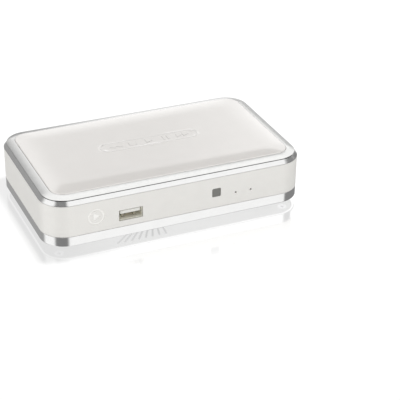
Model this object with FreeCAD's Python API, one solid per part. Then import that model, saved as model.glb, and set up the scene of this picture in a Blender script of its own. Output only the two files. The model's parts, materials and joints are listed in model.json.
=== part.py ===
import FreeCAD, Part
import math
import os

# Streaming media player.
# Millimetres. +Z is up, +X runs to the right along the front, the front faces -Y.
# The origin is on the floor under the middle of the box.

Vec = FreeCAD.Vector
UP = Vec(0, 0, 1)
REARWARD = Vec(0, 1, 0)
SIDEWAYS = Vec(1, 0, 0)

# ---- Driving dimensions ------------------------------------------------------------------------

WIDTH = 150.0
DEPTH = 88.0
CORNER_R = 14.0
WALL = 2.0
SEAM = 0.15                 # open line between two casing pieces

TRIM_Z = (3.85, 9.5)        # bottom trim, lower and upper edge
TRIM_WALL = 1.6
TRIM_EDGE_R = 0.5           # round of the trim's lower edge
HOUSING_Z = (9.65, 27.8)
STRIP_Z = (27.95, 30.2)     # accent strip, vertical foot to sloping head
STRIP_FOOT = 0.3            # height of the strip's vertical foot
STRIP_SLOPE_IN = 1.6        # how far the strip leans in
BEZEL_LIP_Z = 30.65         # outer edge of the bezel, over the accent strip
BEZEL_LIP = 0.2             # height of that edge
BEZEL_RIM_Z = 31.95         # inner edge of the bezel, round the panel
BEZEL_WIDTH = (1.65, 6.2)   # insets of the bezel's outer and inner edge
BEZEL_BULGE = 0.1           # rise of the bezel's arc over its chord
EDGE_R = 0.15               # small round of the visible casing edges
PANEL_SEAT_Z = 30.25
PANEL_EDGE_Z = 32.15
PANEL_CROWN = 0.7           # rise of the panel from its edge to its middle
PANEL_CROWN_REACH = 13.0    # distance from the edge over which it rises
PANEL_INSET = BEZEL_WIDTH[1] + SEAM
PANEL_RELIEF = 0.15         # height of the raised outline and symbols

FLANGE_IN = 6.0             # housing flange that carries the bezel, inset of its inner edge
FLANGE_THICK = 1.2

BASE_INSET = TRIM_WALL + SEAM
BASE_Z = (4.25, 6.25)
BASE_RIM_TOP = 9.15
BASE_RIM_THICK = 1.5

VENT_FOCUS = (-3.0, -10.0)  # the slots of one vent field point at this place
VENT_FRONT_Y = -38.0        # where their outer ends line up
VENT_FIRST_X = -34.4
VENT_PITCH = 4.1
VENT_COUNT = 8
VENT_SLOT = (1.1, 14.0)     # width and length

FOOT_R = (4.1, 4.5)         # radius on the floor and at the top
FOOT_TOP = 4.8
FOOT_EDGE_R = 0.5
FOOT_PLACES = {
    "foot_front_left": (-58, -25),
    "foot_front_right": (58, -25),
    "foot_rear_left": (-58, 25),
    "foot_rear_right": (58, 25),
}

POST_R = 4.6
POST_PLACES = [(x, y) for x in (-66.3, 66.3) for y in (-35.3, 35.3)]
CASE_SCREW_R = 1.4
CASE_SCREW_TOP = 20.25
STANDOFF_R = 3.0
STANDOFF_PLACES = [(x, y) for x in (-55, 55) for y in (-34, 20)]
BOARD_SCREW_R = 1.15
BEZEL_SCREW_R = 0.85
BEZEL_SCREW_TOP = 29.75
BEZEL_SCREW_PLACES = [(x, y) for x in (-70.8, 70.8) for y in (-15, 15)]
PEG_R = 0.8
PEG_LOW_Z = HOUSING_Z[1] + 0.75
PEG_PLACES = [(x, y) for x in (-50, 0, 50) for y in (-36.4, 36.4)]

USB_SIZE = (13.1, 5.8, 14.0)        # shell width, height, length
USB_SHEET = 0.3
USB_LIP = (0.2, 0.7)               # bevel inside the mouth, across the sheet and inwards
USB_SPRING = (3.3, 4.7, 7.2, 7.8)  # distances from the mouth: tip, hump, foot and root of a spring
USB_SPRING_RISE = 0.65             # height of its hump over the shell's floor
USB_SPRING_X = (-3.3, 3.3)
USB_FRONT = (-28.6, 16.4)          # x and z of the front socket's centre
USB_REAR_X = -48.0
BOARD_TOP = USB_FRONT[1] - USB_SIZE[1] / 2
BOARD_THICK = 1.6
BOARD_SIZE = (120.0, 81.0)

IR_WINDOW = (20.95, 18.75, 5.1, 0.8)    # x, z, side, corner radius
LAMP_X = {"power": 32.5, "network": 41.5}
LAMP_Z = 16.55
LAMP_HOLE_R = 0.6
LAMP_Y = -37.6                          # row of the two light sources on the board

PLATE_Y = (40.8, 42.6)      # rear plate, inner and outer face
PLATE_FLANGE_Y = 41.9
PLATE_HALF = 57.85
PLATE_Z = (11.8, 26.0)
PLATE_FLANGE = 1.65         # how far the flange reaches past the face
PLATE_FLANGE_TOP = 26.55
CONNECTOR_Y = 42.9          # mouths of the rear sockets
CUTOUT_GAP = 0.2

DC_JACK = (50.0, 9.0, 10.8, 13.5)           # x, width, height, length
DC_BORE_R = 3.1
DC_PIN_R = 1.05
DC_BORE_LENGTH = 9.5
POWER_BUTTON = (37.0, 19.0, 6.6, 4.6)       # x, z, cap width, cap height
POWER_TRAVEL = 1.2
HDMI = (20.0, 15.0, 5.9, 11.0)              # x, width, height, length
HDMI_SHEET = 0.4
AV_JACK = (5.0, 6.6, 6.0, 13.0)             # x, width, height, length
AV_BORE_R = 1.8
AV_BORE_LENGTH = 11.0
OPTICAL = (-8.0, 10.0, 10.0, 12.5)          # x, width, height, length
OPTICAL_CAVITY = (7.0, 7.45, 9.5)           # width, height, depth
NETWORK_JACK = (-26.0, 16.0, 11.6, 16.5)    # x, width, height, length
NETWORK_CAVITY = (11.9, 8.4, 12.5)
RESET_X = -37.7
RESET_Z = 15.65
RESET_R = 0.7
RESET_HOLE_R = 0.95
RESET_TRAVEL = 0.4

SHUTTER_THICK = 0.8
SHUTTER_Y = 41.7            # hinge axis
SHUTTER_Z = BOARD_TOP + 7.85
SHUTTER_PIN_R = 0.4
SHUTTER_PLAY = 0.05

PILL = (58.0, 9.7, 1.4)     # length, width and y of the raised outline on the panel
PILL_LINE = 0.8             # width of the outline itself
SYMBOL_SIZE = 4.4
SYMBOL_PITCH = 10.0
PAUSE_BAR = 1.3
BADGE = (-48.0, 18.65, 4.6) # x, z and radius of the symbol sunk into the front
BADGE_LINE = 1.0            # width of its ring
BADGE_DEPTH = 0.3

CHIPS = {                   # x, y, width, depth, height of the flat parts on the board
    "main_processor": (0, -5, 27, 27, 2.2),
    "memory_chip_left": (-32, -12, 13, 11, 1.2),
    "memory_chip_right": (-32, 4, 13, 11, 1.2),
    "flash_chip": (30, -20, 18, 12, 1.2),
    "voltage_regulator": (32, -4, 10, 6.5, 2.3),
    "network_transformer": (-27, 18, 16, 8, 5),
    "clock_crystal": (-12, -27, 11, 4.5, 3.5),
}
PAD_SIZE = (25, 0.5)
SINK_SIZE = (40, 36, 2.0)
FIN_COUNT = 9
FIN_THICK = 1.2
FIN_HEIGHT = 5.5


# ---- Shape helpers -----------------------------------------------------------------------------

def box(x0, x1, y0, y1, z0, z1):
    return Part.makeBox(x1 - x0, y1 - y0, z1 - z0, Vec(x0, y0, z0))


def rod(radius, start, end):
    """Cylinder between two points."""
    along = end - start
    return Part.makeCylinder(radius, along.Length, start, along)


def cone(radius_0, radius_1, x, y, z0, z1):
    return Part.makeCone(radius_0, radius_1, z1 - z0, Vec(x, y, z0), UP)


def post(radius, x, y, z0, z1):
    return rod(radius, Vec(x, y, z0), Vec(x, y, z1))


def joined(pieces):
    """One solid from pieces that touch or overlap."""
    return pieces[0].multiFuse(pieces[1:]).removeSplitter()


def group(pieces):
    """Separate solids that share one node."""
    return Part.makeCompound(pieces)


def without(shape, tools):
    return shape.cut(Part.makeCompound(tools))


def add_line(edges, start, end):
    """Straight edge, unless its ends meet."""
    if start.distanceToPoint(end) > 1e-6:
        edges.append(Part.makeLine(start, end))


def rounded_outline(half_w, half_h, radius):
    """Face in the XY plane round the origin."""
    arcs = []
    for quarter, (side_x, side_y) in enumerate([(1, 1), (-1, 1), (-1, -1), (1, -1)]):
        centre = Vec(side_x * (half_w - radius), side_y * (half_h - radius), 0)
        arcs.append([centre + Vec(math.cos(angle), math.sin(angle), 0) * radius
                     for angle in (math.pi / 2 * (quarter + part) for part in (0, 0.5, 1))])
    edges = []
    for index, arc in enumerate(arcs):
        edges.append(Part.Arc(*arc).toShape())
        add_line(edges, arc[2], arcs[(index + 1) % 4][0])
    return Part.Face(Part.Wire(edges))


def flat_pad(x, y, width, depth, radius, z0, z1):
    """Rounded block standing on z0."""
    face = rounded_outline(width / 2, depth / 2, radius)
    face.translate(Vec(x, y, z0))
    return face.extrude(UP * (z1 - z0))


def wall_pad(x, z, width, height, radius, y0, y1):
    """Rounded block that runs front to back."""
    face = rounded_outline(width / 2, height / 2, radius)
    face.rotate(Vec(), SIDEWAYS, 90)
    face.translate(Vec(x, y0, z))
    return face.extrude(REARWARD * (y1 - y0))


def polygon_prism(points, y0, y1):
    """Prism of a corner list (x, z) that runs front to back."""
    corners = [Vec(x, y0, z) for x, z in points]
    return Part.Face(Part.makePolygon(corners + corners[:1])).extrude(REARWARD * (y1 - y0))


def casing_slab(inset, z0, z1):
    """Full plate of the casing's outline, moved in by inset."""
    return flat_pad(0, 0, WIDTH - 2 * inset, DEPTH - 2 * inset, CORNER_R - inset, z0, z1)


def casing_ring(path):
    """Section swept round the casing outline.

    The path's items are (inset, z) corners, or pairs (middle, end) that make an arc. It ends at its
    own start.
    """
    def place(point):
        return Vec(CORNER_R - point[0], 0, point[1])

    edges = []
    start = place(path[0])
    for item in path[1:]:
        if isinstance(item[0], tuple):
            end = place(item[1])
            edges.append(Part.Arc(start, place(item[0]), end).toShape())
        else:
            end = place(item)
            edges.append(Part.makeLine(start, end))
        start = end
    section = Part.Face(Part.Wire(edges))

    half_w = WIDTH / 2 - CORNER_R
    half_d = DEPTH / 2 - CORNER_R
    corners = [Vec(half_w, half_d, 0), Vec(-half_w, half_d, 0),
               Vec(-half_w, -half_d, 0), Vec(half_w, -half_d, 0)]
    pieces = []
    for quarter, centre in enumerate(corners):
        beginning = section.copy()
        beginning.rotate(Vec(), UP, 90 * quarter)
        beginning.translate(centre)
        pieces.append(beginning.revolve(centre, UP, 90))
        ending = beginning.copy()
        ending.rotate(centre, UP, 90)
        pieces.append(ending.extrude(corners[(quarter + 1) % 4] - centre))
    return joined(pieces)


def inset_of(point):
    """How far a point lies inside the casing outline."""
    past_x = abs(point.x) - (WIDTH / 2 - CORNER_R)
    past_y = abs(point.y) - (DEPTH / 2 - CORNER_R)
    if min(past_x, past_y) > 0:
        return CORNER_R - math.hypot(past_x, past_y)
    return CORNER_R - max(past_x, past_y)


def softened(ring, corners, radius=EDGE_R):
    """Ring with small rounds along the given (inset, z) corners of its section."""
    edges = []
    for edge in ring.Edges:
        ends = [vertex.Point for vertex in edge.Vertexes]
        for inset, z in corners:
            if all(abs(end.z - z) < 0.01 and abs(inset_of(end) - inset) < 0.01 for end in ends):
                edges.append(edge)
    return ring.makeFillet(radius, edges)


# ---- Casing ------------------------------------------------------------------------------------

def arc_middle(start, end, bulge):
    """Middle of an arc that rises by bulge over the chord from start to end."""
    run = end[0] - start[0]
    rise = end[1] - start[1]
    length = math.hypot(run, rise)
    return ((start[0] + end[0]) / 2 - bulge * rise / length,
            (start[1] + end[1]) / 2 + bulge * run / length)


def crown_height(x, y):
    """Height of the panel's upper face."""
    height = PANEL_CROWN
    for place, size in ((x, WIDTH), (y, DEPTH)):
        from_edge = size / 2 - PANEL_INSET - abs(place)
        height *= 1 - max(0, 1 - from_edge / PANEL_CROWN_REACH) ** 2
    return PANEL_EDGE_Z + height


def crown_cutter():
    """Everything above the panel's crowned face."""
    steps_x = 32
    steps_y = 24
    reach_x = WIDTH / 2 - PANEL_INSET
    reach_y = DEPTH / 2 - PANEL_INSET
    rows = []
    for i in range(-steps_x, steps_x + 1):
        x = reach_x * math.sin(0.5 * math.pi * i / steps_x) * 1.01
        row = []
        for j in range(-steps_y, steps_y + 1):
            y = reach_y * math.sin(0.5 * math.pi * j / steps_y) * 1.01
            row.append(Vec(x, y, crown_height(x, y)))
        rows.append(row)
    surface = Part.BSplineSurface()
    surface.interpolate(rows)
    return surface.toShape().extrude(UP * 5)


def play_arrow(x, y, size, z0, z1):
    """Triangle that points along +X."""
    half = size / 2
    corners = [Vec(x - half, y - half, z0), Vec(x + half, y, z0), Vec(x - half, y + half, z0)]
    return Part.Face(Part.makePolygon(corners + corners[:1])).extrude(UP * (z1 - z0))


def panel_symbols(z0, z1):
    """Generic transport symbols in a row: back, stop, play, pause, on."""
    half = SYMBOL_SIZE / 2
    y = PILL[2]
    low_y = y - half
    high_y = y + half
    play = play_arrow(0, y, SYMBOL_SIZE, z0, z1)
    onward = [play_arrow(2 * SYMBOL_PITCH + shift, y, SYMBOL_SIZE * 0.8, z0, z1) for shift in (-1.9, 1.9)]
    back = [shape.mirror(Vec(), SIDEWAYS) for shape in onward]
    stop = box(-SYMBOL_PITCH - half, -SYMBOL_PITCH + half, low_y, high_y, z0, z1)
    pause = [box(x - PAUSE_BAR / 2, x + PAUSE_BAR / 2, low_y, high_y, z0, z1)
             for x in (SYMBOL_PITCH - PAUSE_BAR, SYMBOL_PITCH + PAUSE_BAR)]
    return [play, stop] + onward + back + pause


def top_panel():
    plate = casing_slab(PANEL_INSET, PANEL_SEAT_Z + 0.05, PANEL_EDGE_Z + PANEL_CROWN + 1)
    plate = plate.cut(crown_cutter())
    low = PANEL_EDGE_Z + PANEL_CROWN - 0.5
    high = PANEL_EDGE_Z + PANEL_CROWN + PANEL_RELIEF
    length, width, y = PILL
    outer = flat_pad(0, y, length, width, width / 2, low, high)
    inner_width = width - 2 * PILL_LINE
    inner = flat_pad(0, y, length - 2 * PILL_LINE, inner_width, inner_width / 2, low - 1, high + 1)
    pegs = [post(PEG_R, *place, PEG_LOW_Z, PANEL_SEAT_Z + 0.5) for place in PEG_PLACES]
    return joined([plate, outer.cut(inner)] + panel_symbols(low, high) + pegs)


def top_bezel():
    outer, inner = BEZEL_WIDTH
    seat_in = inner + 2.8
    seat_low = PANEL_SEAT_Z - 1.4
    leg_out = STRIP_SLOPE_IN + 0.75
    leg_z = HOUSING_Z[1] + 0.05
    lip = (outer, BEZEL_LIP_Z + BEZEL_LIP)
    rim = (inner, BEZEL_RIM_Z)
    ring = casing_ring([
        (outer, BEZEL_LIP_Z), lip, (arc_middle(lip, rim, BEZEL_BULGE), rim), (inner, PANEL_SEAT_Z),
        (seat_in, PANEL_SEAT_Z), (seat_in, seat_low), (inner, seat_low), (inner, leg_z), (leg_out, leg_z),
        (leg_out, BEZEL_LIP_Z), (outer, BEZEL_LIP_Z)])
    ring = softened(ring, [lip, rim])
    below = leg_z - 1
    holes = [post(PEG_R + 0.05, *place, below, PANEL_SEAT_Z + 0.5) for place in PEG_PLACES]
    screw_top = BEZEL_SCREW_TOP + 0.2
    holes += [post(BEZEL_SCREW_R + 0.05, *place, below, screw_top) for place in BEZEL_SCREW_PLACES]
    return without(ring, holes)


def accent_strip():
    low, high = STRIP_Z
    shoulder = (0, low + STRIP_FOOT)
    head = (STRIP_SLOPE_IN, high)
    back = STRIP_SLOPE_IN + 0.6
    ring = casing_ring([(0, low), shoulder, head, (back, high), (back, low), (0, low)])
    return softened(ring, [shoulder, head])


def bottom_trim():
    low, high = TRIM_Z
    ring = casing_ring([(0, low), (0, high), (TRIM_WALL, high), (TRIM_WALL, low), (0, low)])
    return softened(softened(ring, [(0, high)]), [(0, low)], TRIM_EDGE_R)


def badge_sinks():
    """Shallow ring and play arrow cut into the front face."""
    x, z, radius = BADGE
    face = -DEPTH / 2
    floor = face + BADGE_DEPTH
    ring = rod(radius, Vec(x, face - 1, z), Vec(x, floor, z))
    ring = ring.cut(rod(radius - BADGE_LINE, Vec(x, face - 2, z), Vec(x, face + 2, z)))
    arrow = polygon_prism([(x - 1.4, z - 2.3), (x + 2.4, z), (x - 1.4, z + 2.3)], face - 1, floor)
    return [ring, arrow]


def side_housing():
    low, high = HOUSING_Z
    shelf = high - FLANGE_THICK
    shell = casing_ring([(0, low), (0, high), (FLANGE_IN, high), (FLANGE_IN, shelf), (WALL, shelf),
                         (WALL, low), (0, low)])
    pieces = [softened(shell, [(0, low), (0, high)])]
    pieces += [post(POST_R, x, y, low, shelf + 0.2) for x, y in POST_PLACES]
    front = -DEPTH / 2
    usb_x, usb_z = USB_FRONT
    window_x, window_z, side, radius = IR_WINDOW
    cuts = [
        wall_pad(usb_x, usb_z, USB_SIZE[0] + 0.4, USB_SIZE[1] + 0.6, 0.5, front - 1, front + 3),
        wall_pad(window_x, window_z, side + 0.1, side + 0.1, radius, front - 1, front + 3),
        wall_pad(0, sum(PLATE_Z) / 2, 2 * PLATE_HALF + 0.3, PLATE_Z[1] - PLATE_Z[0] + 0.3, 1.6,
                 DEPTH / 2 - 3, DEPTH / 2 + 1),
    ]
    cuts += [rod(LAMP_HOLE_R, Vec(x, front - 1, LAMP_Z), Vec(x, front + 3, LAMP_Z)) for x in LAMP_X.values()]
    cuts += [post(CASE_SCREW_R + 0.05, *place, low - 1, CASE_SCREW_TOP + 1) for place in POST_PLACES]
    cuts += [post(BEZEL_SCREW_R + 0.15, *place, shelf - 1, high + 1) for place in BEZEL_SCREW_PLACES]
    return without(joined(pieces), cuts + badge_sinks())


def vent_slots():
    """Two fan-shaped fields of slots through the floor, each the other's half turn."""
    width, length = VENT_SLOT
    focus_x, focus_y = VENT_FOCUS
    slots = []
    for index in range(VENT_COUNT):
        x = VENT_FIRST_X + index * VENT_PITCH
        slot = flat_pad(0, length / 2, width, length, width / 2, BASE_Z[0] - 1, BASE_Z[1] + 1)
        slot.rotate(Vec(), UP, math.degrees(math.atan2(x - focus_x, focus_y - VENT_FRONT_Y)))
        slot.translate(Vec(x, VENT_FRONT_Y, 0))
        twin = slot.copy()
        twin.rotate(Vec(), UP, 180)
        slots += [slot, twin]
    return slots


def screw_sink(x, y):
    """Countersunk clearance hole through the floor and its boss."""
    low = BASE_Z[0]
    hole_r = CASE_SCREW_R + 0.3
    return [post(hole_r, x, y, low - 1, HOUSING_Z[0] + 1), cone(2.75, hole_r, x, y, low - 0.05, low + 1.6)]


def base_pan():
    low, high = BASE_Z
    rim_in = BASE_INSET + BASE_RIM_THICK
    pieces = [casing_slab(BASE_INSET, low, high)]
    pieces.append(casing_ring([(BASE_INSET, high - 0.5), (BASE_INSET, BASE_RIM_TOP), (rim_in, BASE_RIM_TOP),
                               (rim_in, high - 0.5), (BASE_INSET, high - 0.5)]))
    standoff_top = BOARD_TOP - BOARD_THICK
    pieces += [post(STANDOFF_R, *place, high - 0.5, standoff_top) for place in STANDOFF_PLACES]
    pieces += [post(POST_R - 0.4, *place, high - 0.5, HOUSING_Z[0] - 0.1) for place in POST_PLACES]
    cuts = [post(BOARD_SCREW_R + 0.05, *place, high, standoff_top + 1) for place in STANDOFF_PLACES]
    cuts += [post(FOOT_R[1] + 0.1, *place, low - 1, FOOT_TOP + 0.05) for place in FOOT_PLACES.values()]
    for place in POST_PLACES:
        cuts += screw_sink(*place)
    return without(joined(pieces), cuts + vent_slots())


def foot(x, y):
    stud = cone(*FOOT_R, x, y, 0, FOOT_TOP)
    lower_edge = [edge for edge in stud.Edges if edge.BoundBox.ZMax < 0.01]
    return stud.makeFillet(FOOT_EDGE_R, lower_edge)


# ---- Screws ------------------------------------------------------------------------------------

def cross_recess(x, y, z0, z1):
    reach = 1.2
    slot = 0.25
    return [box(x - reach, x + reach, y - slot, y + slot, z0, z1),
            box(x - slot, x + slot, y - reach, y + reach, z0, z1)]


def case_screw(x, y):
    low = BASE_Z[0] + 0.05
    head = cone(2.6, CASE_SCREW_R, x, y, low, low + 1.4)
    screw = joined([head, post(CASE_SCREW_R, x, y, low + 1, CASE_SCREW_TOP)])
    return without(screw, cross_recess(x, y, low - 1, low + 0.8))


def board_screw(x, y):
    head = cone(2.6, 2.2, x, y, BOARD_TOP, BOARD_TOP + 1.6)
    screw = joined([head, post(BOARD_SCREW_R, x, y, BASE_Z[1] + 0.5, BOARD_TOP + 0.5)])
    return without(screw, cross_recess(x, y, BOARD_TOP + 0.8, BOARD_TOP + 3))


def bezel_screw(x, y):
    shelf = HOUSING_Z[1] - FLANGE_THICK
    head = cone(1.4, 1.6, x, y, shelf - 1.1, shelf)
    screw = joined([head, post(BEZEL_SCREW_R, x, y, shelf - 0.5, BEZEL_SCREW_TOP)])
    return without(screw, [box(x - 1, x + 1, y - 0.2, y + 0.2, shelf - 2, shelf - 0.6)])


# ---- Front parts -------------------------------------------------------------------------------

def ir_window():
    x, z, side, radius = IR_WINDOW
    inner = -DEPTH / 2 + WALL + 0.05
    lens = wall_pad(x, z, side, side, radius - 0.05, -DEPTH / 2 + 0.1, inner + 0.3)
    flange = wall_pad(x, z, side + 2, side + 2, radius, inner, inner + 0.8)
    return joined([lens, flange])


def ir_receiver():
    x, z = IR_WINDOW[:2]
    body = wall_pad(x, z, 5.2, 6.4, 0.4, -38.8, -35.4)
    dome = Part.makeSphere(2.2, Vec(x, -38.8, z))
    legs = [box(x + shift - 0.25, x + shift + 0.25, -37.4, -36.9, BOARD_TOP, z - 2)
            for shift in (-1.5, 0, 1.5)]
    return joined([body, dome] + legs)


def light_pipe(x):
    """Horizontal rod behind its hole, turned down to the light source on the board."""
    tip = -DEPTH / 2 + 1.2
    inner = -DEPTH / 2 + WALL + 0.1
    pieces = [rod(LAMP_HOLE_R - 0.05, Vec(x, tip, LAMP_Z), Vec(x, inner + 0.5, LAMP_Z)),
              rod(1.2, Vec(x, inner, LAMP_Z), Vec(x, LAMP_Y, LAMP_Z)),
              box(x - 1.2, x + 1.2, LAMP_Y - 1.2, LAMP_Y + 1.2, BOARD_TOP + 1.1, LAMP_Z + 1.2)]
    return joined(pieces)


def light_source(x):
    return joined([box(x - 1, x + 1, LAMP_Y - 0.6, LAMP_Y + 0.6, BOARD_TOP, BOARD_TOP + 0.4),
                   cone(0.55, 0.4, x, LAMP_Y, BOARD_TOP + 0.3, BOARD_TOP + 0.8)])


# ---- USB sockets, made with the mouth at y = 0 and facing -Y -----------------------------------

def usb_mouth():
    """Tapered space that bevels the inside of the shell's mouth."""
    across, inwards = USB_LIP
    frames = []
    for y, wall in ((0, USB_SHEET - across), (inwards, USB_SHEET)):
        half_w = USB_SIZE[0] / 2 - wall
        half_h = USB_SIZE[1] / 2 - wall
        corners = [Vec(-half_w, y, -half_h), Vec(half_w, y, -half_h), Vec(half_w, y, half_h),
                   Vec(-half_w, y, half_h)]
        frames.append(Part.makePolygon(corners + corners[:1]))
    return Part.makeLoft(frames, True, True)


def usb_spring(x):
    """Bent leaf that rises from the shell's floor to press on a plug."""
    tip, hump, foot, root = USB_SPRING
    floor = USB_SHEET - USB_SIZE[1] / 2
    under = USB_SHEET - 0.05
    path = [(tip, floor + 0.05), (hump, floor + USB_SPRING_RISE), (foot, floor), (root, floor)]
    corners = [Vec(x - 0.7, y, z) for y, z in path] + [Vec(x - 0.7, y, z - under) for y, z in reversed(path)]
    return Part.Face(Part.makePolygon(corners + corners[:1])).extrude(SIDEWAYS * 1.4)


def usb_shell():
    width, height, length = USB_SIZE
    shell = wall_pad(0, 0, width, height, 0.4, 0, length)
    hollow = wall_pad(0, 0, width - 2 * USB_SHEET, height - 2 * USB_SHEET, 0.15, -1, length - USB_SHEET)
    windows = [box(x - 0.9, x + 0.9, 3, 7.5, -height, height) for x in USB_SPRING_X]
    shell = without(shell, [hollow, usb_mouth()] + windows)
    return joined([shell] + [usb_spring(x) for x in USB_SPRING_X])


def usb_tongue():
    width, height, length = USB_SIZE
    clear = USB_SHEET + 0.02
    blade = box(-5.55, 5.55, 1.2, 11.5, 0.3, 2.1)
    root = wall_pad(0, 0, width - 2 * clear, height - 2 * clear, 0.15, 11, length - clear)
    return joined([blade, root])


def usb_contacts():
    return group([box(x - 0.5, x + 0.5, 1.9, 10.95, 0.05, 0.28) for x in (-3.5, -1, 1, 3.5)])


def usb_set(prefix, x, z, mouth_y, facing_rear):
    """The three pieces of one socket, by node name."""
    pieces = {"shell": usb_shell(), "tongue": usb_tongue(), "contacts": usb_contacts()}
    for shape in pieces.values():
        if facing_rear:
            shape.rotate(Vec(), UP, 180)
        shape.translate(Vec(x, mouth_y, z))
    return {f"{prefix}_{name}": shape for name, shape in pieces.items()}


# ---- Other rear sockets ------------------------------------------------------------------------

def dc_jack_body():
    x, width, height, length = DC_JACK
    z = BOARD_TOP + height / 2
    block = wall_pad(x, z, width, height, 0.6, CONNECTOR_Y - length, CONNECTOR_Y)
    return block.cut(rod(DC_BORE_R, Vec(x, CONNECTOR_Y - DC_BORE_LENGTH, z), Vec(x, CONNECTOR_Y + 1, z)))


def dc_jack_pin():
    x, _, height, _ = DC_JACK
    z = BOARD_TOP + height / 2
    tip = CONNECTOR_Y - 1.6
    stem = rod(DC_PIN_R, Vec(x, CONNECTOR_Y - DC_BORE_LENGTH, z), Vec(x, tip, z))
    return stem.fuse(Part.makeSphere(DC_PIN_R, Vec(x, tip, z))).removeSplitter()


def hdmi_profile(shrink):
    """D-shaped outline, narrower at the bottom."""
    half_w = HDMI[1] / 2 - shrink
    half_h = HDMI[2] / 2 - shrink
    foot_half = half_w - 1.7
    z = BOARD_TOP + HDMI[2] / 2
    shoulder = z - half_h + 1.9
    x = HDMI[0]
    return [(x - half_w, z + half_h), (x + half_w, z + half_h), (x + half_w, shoulder),
            (x + foot_half, z - half_h), (x - foot_half, z - half_h), (x - half_w, shoulder)]


def hdmi_shell():
    length = HDMI[3]
    shell = polygon_prism(hdmi_profile(0), CONNECTOR_Y - length, CONNECTOR_Y)
    hollow = polygon_prism(hdmi_profile(HDMI_SHEET), CONNECTOR_Y - length + HDMI_SHEET, CONNECTOR_Y + 1)
    return shell.cut(hollow)


def hdmi_tongue():
    x, _, height, length = HDMI
    z = BOARD_TOP + height / 2
    back = CONNECTOR_Y - length + HDMI_SHEET + 0.02
    blade = box(x - 6, x + 6, back, CONNECTOR_Y - 1.6, z - 0.2, z + 0.9)
    root = polygon_prism(hdmi_profile(HDMI_SHEET + 0.02), back, back + 2.5)
    return joined([blade, root])


def av_jack():
    x, width, height, length = AV_JACK
    z = BOARD_TOP + height / 2
    body = wall_pad(x, z, width, height, 0.4, CONNECTOR_Y - length, PLATE_Y[0] - 0.2)
    nose = rod(height / 2 - 0.1, Vec(x, PLATE_Y[0] - 1, z), Vec(x, CONNECTOR_Y, z))
    bore = rod(AV_BORE_R, Vec(x, CONNECTOR_Y - AV_BORE_LENGTH, z), Vec(x, CONNECTOR_Y + 1, z))
    return joined([body, nose]).cut(bore)


def network_jack_housing():
    x, width, height, length = NETWORK_JACK
    z = BOARD_TOP + height / 2
    cavity_w, cavity_h, cavity_d = NETWORK_CAVITY
    floor = BOARD_TOP + 1.0
    block = wall_pad(x, z, width, height, 0.3, CONNECTOR_Y - length, CONNECTOR_Y)
    back = CONNECTOR_Y - cavity_d
    plug_space = box(x - cavity_w / 2, x + cavity_w / 2, back, CONNECTOR_Y + 1, floor, floor + cavity_h)
    latch_space = box(x - 3, x + 3, back + 4, CONNECTOR_Y + 1, floor + cavity_h - 1, floor + cavity_h + 1.4)
    lamp_seats = [box(x + side - 1.5, x + side + 1.5, CONNECTOR_Y - 2, CONNECTOR_Y + 1,
                      z + height / 2 - 1.6, z + height / 2 - 0.3) for side in (-5.6, 5.6)]
    return without(block, [plug_space, latch_space] + lamp_seats)


def network_jack_lamps():
    x, _, height, _ = NETWORK_JACK
    top = BOARD_TOP + height - 0.35
    return group([box(x + side - 1.45, x + side + 1.45, CONNECTOR_Y - 1.95, CONNECTOR_Y, top - 1.2, top)
                  for side in (-5.6, 5.6)])


def network_jack_contacts():
    """Eight spring wires that slope up from the floor of the socket towards its back."""
    x = NETWORK_JACK[0]
    back = CONNECTOR_Y - NETWORK_CAVITY[2]
    floor = BOARD_TOP + 1.0
    wires = []
    for index in range(8):
        wire = box(-0.2, 0.2, 0, 6.2, 0, 0.3)
        wire.rotate(Vec(), SIDEWAYS, -12)
        wire.translate(Vec(x + (index - 3.5) * 1.02, back + 0.1, floor + 1.5))
        wires.append(wire)
    return group(wires)


def optical_socket_body():
    x, width, height, length = OPTICAL
    z = BOARD_TOP + height / 2
    cavity_w, cavity_h, cavity_d = OPTICAL_CAVITY
    floor = BOARD_TOP + 1.4
    back = CONNECTOR_Y - cavity_d
    block = wall_pad(x, z, width, height, 0.5, CONNECTOR_Y - length, CONNECTOR_Y)
    cavity = box(x - cavity_w / 2, x + cavity_w / 2, back, CONNECTOR_Y + 1, floor, floor + cavity_h)
    emitter_seat = rod(1.6, Vec(x, back - 2, z - 0.5), Vec(x, back + 1, z - 0.5))
    return without(block, [cavity, emitter_seat, hinge_rod(SHUTTER_PIN_R + 0.02, cavity_w / 2 + 1)])


def optical_emitter():
    x, _, height, _ = OPTICAL
    z = BOARD_TOP + height / 2 - 0.5
    back = CONNECTOR_Y - OPTICAL_CAVITY[2]
    lens = rod(1.1, Vec(x, back - 1, z), Vec(x, back + 1.2, z))
    return joined([rod(1.55, Vec(x, back - 1.95, z), Vec(x, back - 0.5, z)), lens])


def hinge_rod(radius, half_length):
    """Rod along the shutter's hinge axis."""
    x = OPTICAL[0]
    return rod(radius, Vec(x - half_length, SHUTTER_Y, SHUTTER_Z), Vec(x + half_length, SHUTTER_Y, SHUTTER_Z))


def optical_shutter():
    x = OPTICAL[0]
    half_w = OPTICAL_CAVITY[0] / 2 - 0.15
    low = BOARD_TOP + 1.4 + 0.2
    half_t = SHUTTER_THICK / 2
    knuckle_r = 0.8
    flap = box(x - half_w, x + half_w, SHUTTER_Y - half_t, SHUTTER_Y + half_t, low, SHUTTER_Z)
    knuckle = hinge_rod(knuckle_r, half_w)
    bore = hinge_rod(SHUTTER_PIN_R + SHUTTER_PLAY, half_w + 1)
    return joined([flap, knuckle]).cut(bore)


def shutter_hinge_pin():
    return hinge_rod(SHUTTER_PIN_R, OPTICAL_CAVITY[0] / 2 + 0.9)


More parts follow.
